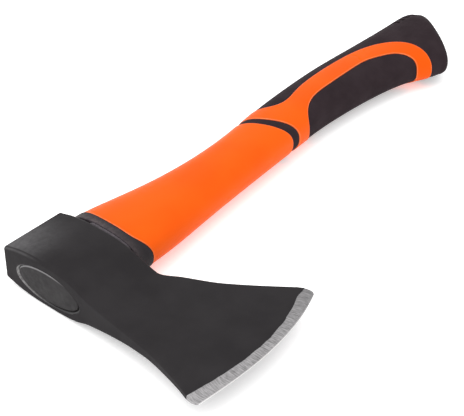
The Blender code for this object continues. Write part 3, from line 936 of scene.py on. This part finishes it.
class Nodes:
    """Short ways to add shader nodes to a new material."""

    def __init__(self, name):
        self.material = bpy.data.materials.new(name)
        self.material.use_nodes = True
        self.tree = self.material.node_tree
        self.shader = self.tree.nodes["Principled BSDF"]

    def add(self, kind, **settings):
        node = self.tree.nodes.new(kind)
        for key, value in settings.items():
            setattr(node, key, value)
        return node

    def feed(self, socket, value):
        """Links a socket to another node's output, or gives it a colour or a number."""
        if isinstance(value, bpy.types.NodeSocket):
            self.tree.links.new(value, socket)
        else:
            socket.default_value = (*value, 1.0) if isinstance(value, tuple) else value

    def fill(self, node, **values):
        for key, value in values.items():
            self.feed(node.inputs[key.replace("_", " ")], value)

    def set(self, **values):
        self.fill(self.shader, **values)

    def position(self):
        return self.add("ShaderNodeNewGeometry").outputs["Position"]

    def part(self, vector, axis):
        node = self.add("ShaderNodeSeparateXYZ")
        self.fill(node, Vector=vector)
        return node.outputs[axis]

    def stretched(self, vector, scale):
        node = self.add("ShaderNodeMapping")
        node.inputs["Scale"].default_value = scale
        self.fill(node, Vector=vector)
        return node.outputs["Vector"]

    def noise(self, size_mm, detail=2.0, roughness=0.5, vector=None):
        node = self.add("ShaderNodeTexNoise")
        place = vector or self.position()
        self.fill(node, Scale=1000.0 / size_mm, Detail=detail, Roughness=roughness, Vector=place)
        return node.outputs["Fac"]

    def between(self, value, low, high, out_low=0.0, out_high=1.0):
        node = self.add("ShaderNodeMapRange")
        self.fill(node, Value=value, From_Min=low, From_Max=high, To_Min=out_low, To_Max=out_high)
        return node.outputs["Result"]

    def along_axe(self, axis, start, end, out_low=0.0, out_high=1.0):
        """A value that changes between two places, in mm, on the axe's own X or Y."""
        low, high = (np.array([start, end]) + AXES["XY".index(axis)]) * MM
        return self.between(self.part(self.position(), axis), low, high, out_low, out_high)

    def math(self, operation, a, b):
        node = self.add("ShaderNodeMath", operation=operation)
        self.feed(node.inputs[0], a)
        self.feed(node.inputs[1], b)
        return node.outputs[0]

    def mix(self, share, first, second):
        node = self.add("ShaderNodeMix", data_type="RGBA")
        for place, value in ((0, share), (6, first), (7, second)):
            self.feed(node.inputs[place], value)
        return node.outputs[2]

    def patches(self, size_mm, detail, first, second, low=0.35, high=0.65, roughness=0.5):
        """Soft patches of two colours."""
        return self.mix(self.between(self.noise(size_mm, detail, roughness), low, high), first, second)

    def uneven(self, size_mm, detail, low, high):
        """A value that drifts between low and high."""
        return self.between(self.noise(size_mm, detail), 0.3, 0.7, low, high)

    def bumps(self, *layers):
        """Chains (height, depth in mm) layers into one bumped normal."""
        normal = None
        for height, depth in layers:
            node = self.add("ShaderNodeBump")
            self.fill(node, Strength=1.0, Distance=depth * MM, Height=height)
            if normal:
                self.fill(node, Normal=normal)
            normal = node.outputs["Normal"]
        self.set(Normal=normal)


def coat_material():
    """Satin black powder coat: fine orange peel, faint cloudy changes of tone, and a scuffed lighter grey
    painted as highlight on the arrises and the cheeks near the poll.
    """
    n = Nodes("black_coat")
    colour = n.patches(22.0, 3.0, (0.0215, 0.0198, 0.0210), (0.0265, 0.0245, 0.0258))
    painted_highlight = n.add("ShaderNodeAttribute", attribute_name="painted_highlight").outputs["Fac"]
    scuffs = n.between(n.noise(3.0, 4.0, 0.6), 0.3, 0.7, 0.7, 1.3)
    # painted highlight: the coat turns a scuffed lighter grey on the arrises and the cheeks near the poll
    colour = n.mix(n.math("MULTIPLY", painted_highlight, scuffs), colour, (0.115, 0.112, 0.115))
    n.set(Base_Color=colour, Roughness=n.uneven(6.0, 3.0, 0.42, 0.52), Specular_IOR_Level=0.02)
    n.bumps((n.noise(1.4, 2.0), 0.05), (n.noise(0.5, 1.0), 0.012))
    return n.material


def rim_material():
    """The eye's rim, where the coat is scuffed through towards the poll, and painted lighter there as a
    highlight.
    """
    n = Nodes("worn_rim_painted_highlight")
    colour = n.patches(1.6, 4.0, (0.10, 0.097, 0.098), (0.21, 0.205, 0.205), 0.4, 0.6, 0.7)
    # worn to bare steel towards the poll, and painted lighter there as a highlight
    bare_and_painted_highlight = n.along_axe("Y", -4, 20)
    colour = n.mix(bare_and_painted_highlight, (0.012, 0.0115, 0.012), colour)
    n.set(Base_Color=colour, Roughness=0.4, Metallic=n.math("MULTIPLY", bare_and_painted_highlight, 0.6))
    n.bumps((n.noise(0.8, 3.0), 0.05),)
    return n.material


def steel_material():
    """Ground steel: grinding lines across the edge, a cloudy polish and a brighter fine edge."""
    n = Nodes("ground_steel")
    place = n.add("ShaderNodeAttribute", attribute_name="grind").outputs["Vector"]
    lines = n.noise(0.65, 3.0, 0.65, n.stretched(place, (1.0, 0.12, 0.0)))
    cloud = n.noise(3.0, 3.0, 0.6)
    tone = n.math("ADD", n.math("MULTIPLY", lines, 0.8), n.math("MULTIPLY", cloud, 0.2))
    colour = n.mix(n.between(tone, 0.36, 0.62), (0.17, 0.166, 0.168), (0.40, 0.39, 0.395))
    heel = n.between(n.part(place, "X"), 0.052, 0.084)
    colour = n.mix(n.math("MULTIPLY", heel, 0.3), colour, (0.12, 0.118, 0.119))
    honed = n.between(n.part(place, "Z"), 0.93, 0.97)
    honed = n.math("MULTIPLY", honed, n.math("SUBTRACT", 1.0, heel))
    colour = n.mix(honed, colour, (0.66, 0.65, 0.655))
    roughness = n.between(cloud, 0.3, 0.7, 0.34, 0.46)
    n.set(Base_Color=colour, Roughness=roughness, Metallic=0.9)
    n.bumps((lines, 0.09),)
    return n.material


def orange_material():
    """Semi-gloss orange moulding with a fine spark-eroded skin."""
    n = Nodes("orange_plastic")
    colour = n.patches(30.0, 2.0, (0.72, 0.083, 0.0028), (0.76, 0.096, 0.0040))
    n.set(Base_Color=colour, Roughness=n.uneven(3.0, 3.0, 0.36, 0.44), Specular_IOR_Level=0.05)
    n.bumps((n.noise(0.6, 2.0), 0.012), (n.noise(9.0, 1.0), 0.05))
    return n.material


def orange_rim_highlight_material():
    """The shell's rounded rims, polished by their sharper mould edge, and painted a lighter orange as a
    highlight.
    """
    n = Nodes("orange_rim_painted_highlight")
    # painted highlight: a lighter orange than the shell
    colour = n.patches(4.0, 2.0, (0.78, 0.115, 0.012), (0.84, 0.15, 0.02))
    n.set(Base_Color=colour, Roughness=0.25, Specular_IOR_Level=0.5)
    n.bumps((n.noise(0.8, 2.0), 0.02),)
    return n.material


def soft_material():
    """Matt black elastomer with a fine leathery grain."""
    n = Nodes("soft_black")
    colour = n.patches(12.0, 3.0, (0.0225, 0.0155, 0.0180), (0.0290, 0.0205, 0.0236))
    n.set(Base_Color=colour, Roughness=n.uneven(2.0, 3.0, 0.55, 0.68), Specular_IOR_Level=0.02)
    n.bumps((n.noise(0.55, 2.0), 0.03), (n.noise(7.0, 1.0), 0.05))
    return n.material


def groove_material():
    """The floor of the ribs' grooves, painted near black."""
    n = Nodes("near_black_groove")
    groove_mottle = n.between(n.noise(1.5, 3.0), 0.35, 0.65)
    # near black, much darker than the grip around the grooves
    colour = n.mix(groove_mottle, (0.002, 0.002, 0.002), (0.007, 0.006, 0.0065))
    n.set(Base_Color=colour, Roughness=0.8, Specular_IOR_Level=0.02)
    n.bumps((groove_mottle, 0.02),)
    return n.material


def collar_material():
    """The grips' elastomer again, but pitted, with dust on the head's side that fades towards the belly as
    painted shade, and painted near black as shade on its front face.
    """
    n = Nodes("collar_black")
    speck = n.noise(1.8, 4.0, 0.7)
    cloud = n.noise(7.0, 3.0)
    near_head = n.along_axe("X", HANDLE_START + 6.0, HANDLE_START)
    # dust near the head, made weaker towards the belly as painted shade
    painted_light_share = n.math("MULTIPLY", near_head, n.along_axe("Y", -22, 8, 0.35, 1.0))
    tone = n.math("MULTIPLY", n.between(speck, 0.3, 0.7), n.between(cloud, 0.35, 0.6, 0.5, 1.0))
    dust = n.mix(tone, (0.034, 0.028, 0.031), (0.108, 0.086, 0.088))
    colour = n.mix(painted_light_share, (0.0185, 0.0155, 0.0175), dust)
    # painted shade: the front face, which looks into the gap by the head, is painted near black
    painted_gap_shade = n.along_axe("X", HANDLE_START + SEAM + 0.02, HANDLE_START + SEAM + 0.12)
    colour = n.mix(painted_gap_shade, (0.004, 0.004, 0.004), colour)
    n.set(Base_Color=colour, Roughness=0.6, Specular_IOR_Level=0.12)
    n.bumps((speck, 0.22), (n.noise(0.6, 2.0), 0.03))
    return n.material


def collar_rim_material():
    """The collar's rounded rims: with dust at the head, and painted near black as shade against the orange
    shell.
    """
    n = Nodes("collar_rim")
    speck = n.between(n.noise(1.8, 4.0, 0.7), 0.3, 0.7)
    dust = n.mix(speck, (0.030, 0.025, 0.028), (0.070, 0.058, 0.064))
    # painted shade: near black on the rim against the orange shell
    painted_shade_black = n.mix(speck, (0.0, 0.0, 0.0), (0.002, 0.002, 0.002))
    far = n.along_axe("X", HANDLE_START + 1.5, HANDLE_START + 2.5)
    n.set(Base_Color=n.mix(far, dust, painted_shade_black), Roughness=0.7, Specular_IOR_Level=0.05)
    n.bumps((speck, 0.08),)
    return n.material


def seal_material():
    """Dark grey rubber, with dust on its rim."""
    n = Nodes("seal_rubber")
    colour = n.patches(2.5, 3.0, (0.044, 0.037, 0.043), (0.074, 0.062, 0.071), 0.4, 0.65)
    n.set(Base_Color=colour, Roughness=0.6, Specular_IOR_Level=0.25)
    n.bumps((n.noise(0.9, 3.0), 0.08),)
    return n.material


def resin_material():
    """Cast dark resin with a dull, slightly uneven face and a painted highlight, pale grey, where it faces up
    on the poll side.
    """
    n = Nodes("cast_resin")
    colour = n.patches(5.0, 4.0, (0.0225, 0.0207, 0.0216), (0.0305, 0.0285, 0.0293), roughness=0.6)
    facing_up = n.part(n.add("ShaderNodeNewGeometry").outputs["Normal"], "Z")
    # painted highlight: pale grey where the face turns up, fading out towards the edge side
    painted_light_share = n.math("MULTIPLY", n.between(facing_up, 0.12, 0.5), n.along_axe("Y", -13, -2))
    colour = n.mix(painted_light_share, colour, (0.24, 0.235, 0.24))
    n.set(Base_Color=colour, Roughness=n.uneven(3.0, 2.0, 0.5, 0.65), Specular_IOR_Level=0.1)
    n.bumps((n.noise(2.2, 2.0), 0.08), (n.noise(0.6, 2.0), 0.02))
    return n.material


def fibreglass_material():
    """Straw-coloured pultruded rod with fibres along it."""
    n = Nodes("fibreglass_rod")
    fibres = n.noise(0.5, 3.0, 0.6, n.stretched(n.position(), (0.03, 1.0, 1.0)))
    colour = n.mix(n.between(fibres, 0.3, 0.7), (0.42, 0.36, 0.22), (0.62, 0.56, 0.4))
    n.set(Base_Color=colour, Roughness=0.45)
    n.bumps((fibres, 0.04),)
    return n.material


def floor_material():
    n = Nodes("white_table")
    tone = n.patches(200.0, 2.0, (0.90, 0.90, 0.90), (0.92, 0.92, 0.92), 0.4, 0.6)
    n.set(Base_Color=tone, Roughness=0.9, Specular_IOR_Level=0.1)
    n.set(Emission_Color=(1.0, 1.0, 1.0), Emission_Strength=TABLE_GLOW)
    return n.material


# ---------------------------------------------------------------- camera, floor and light

CAMERA_AT = (-349.8, -428.0, 444.9)  # in the axe's axes, mm
CAMERA_DOWN = 35.922  # degrees below level
CAMERA_TURN = 40.987  # degrees between its level heading and the handle
FOCAL_WIDTHS = 2.97485  # focal length in picture widths
SENSOR = 36.0
HORIZON_LIGHT = 1.2
ZENITH_LIGHT = 0.95
KEY_WATTS = 14.0
FILL_WATTS = 16.0
TABLE_GLOW = 0.36  # light that the translucent table sends up from below


def add_camera():
    data = bpy.data.cameras.new("camera")
    data.sensor_width = SENSOR
    data.lens = SENSOR * FOCAL_WIDTHS
    data.clip_start = 0.01
    camera = add_object("camera", data)
    camera.location = (np.array(CAMERA_AT) + AXES) * MM
    down, turn = math.radians(CAMERA_DOWN), math.radians(CAMERA_TURN)
    forward = Vector((math.cos(turn) * math.cos(down), math.sin(turn) * math.cos(down), -math.sin(down)))
    camera.rotation_euler = forward.to_track_quat("-Z", "Y").to_euler()
    bpy.context.scene.camera = camera


def add_floor():
    size = 3.0
    mesh = bpy.data.meshes.new("floor")
    corners = [(-size, -size, 0), (size, -size, 0), (size, size, 0), (-size, size, 0)]
    mesh.from_pydata(corners, [], [(0, 1, 2, 3)])
    mesh.materials.append(floor_material())
    floor = add_object("floor", mesh)


def add_area(name, location, size, power, target=(0.0, 0.0, 0.02)):
    data = bpy.data.lights.new(name, "AREA")
    data.shape = "SQUARE"
    data.size = size
    data.energy = power
    light = add_object(name, data)
    light.location = location
    light.rotation_euler = (Vector(target) - Vector(location)).to_track_quat("-Z", "Y").to_euler()


def add_light():
    """A white studio: bright round the horizon, softer overhead, with large softboxes."""
    world = bpy.data.worlds.new("studio")
    world.use_nodes = True
    tree = world.node_tree
    where = tree.nodes.new("ShaderNodeTexCoord")
    parts = tree.nodes.new("ShaderNodeSeparateXYZ")
    ramp = tree.nodes.new("ShaderNodeMapRange")
    ramp.interpolation_type = "SMOOTHSTEP"
    ramp.inputs["From Min"].default_value = 0.05
    ramp.inputs["From Max"].default_value = 0.9
    ramp.inputs["To Min"].default_value = HORIZON_LIGHT
    ramp.inputs["To Max"].default_value = ZENITH_LIGHT
    tree.links.new(where.outputs["Generated"], parts.inputs["Vector"])
    tree.links.new(parts.outputs["Z"], ramp.inputs["Value"])
    tree.links.new(ramp.outputs["Result"], tree.nodes["Background"].inputs["Strength"])
    tree.nodes["Background"].inputs["Color"].default_value = (1.0, 1.0, 1.0, 1.0)
    bpy.context.scene.world = world
    add_area("key_softbox", (-0.63, 0.81, 1.48), 2.2, KEY_WATTS)
    add_area("top_softbox", (-0.35, -0.25, 2.0), 2.4, FILL_WATTS)
    bpy.context.scene.view_settings.view_transform = "Standard"


# ---------------------------------------------------------------- all of it


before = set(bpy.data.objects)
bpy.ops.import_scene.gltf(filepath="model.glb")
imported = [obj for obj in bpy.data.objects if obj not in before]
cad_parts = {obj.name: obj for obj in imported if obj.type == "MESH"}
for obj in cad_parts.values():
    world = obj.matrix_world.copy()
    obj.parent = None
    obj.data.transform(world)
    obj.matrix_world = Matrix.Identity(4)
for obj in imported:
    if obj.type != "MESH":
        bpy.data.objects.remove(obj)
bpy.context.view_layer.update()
AXES = place_axes()

add_camera()
add_floor()
add_light()
build_head()
build_resin()
build_seal()
whole_skin = handle_skin(HANDLE_START)
build_jacket(whole_skin)
build_collar()
build_band(whole_skin)
build_spine_grip(whole_skin)
build_belly_grip(whole_skin)
rod_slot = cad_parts["fibreglass_core"].material_slots[0]
rod_slot.link = "OBJECT"
rod_slot.material = fibreglass_material()
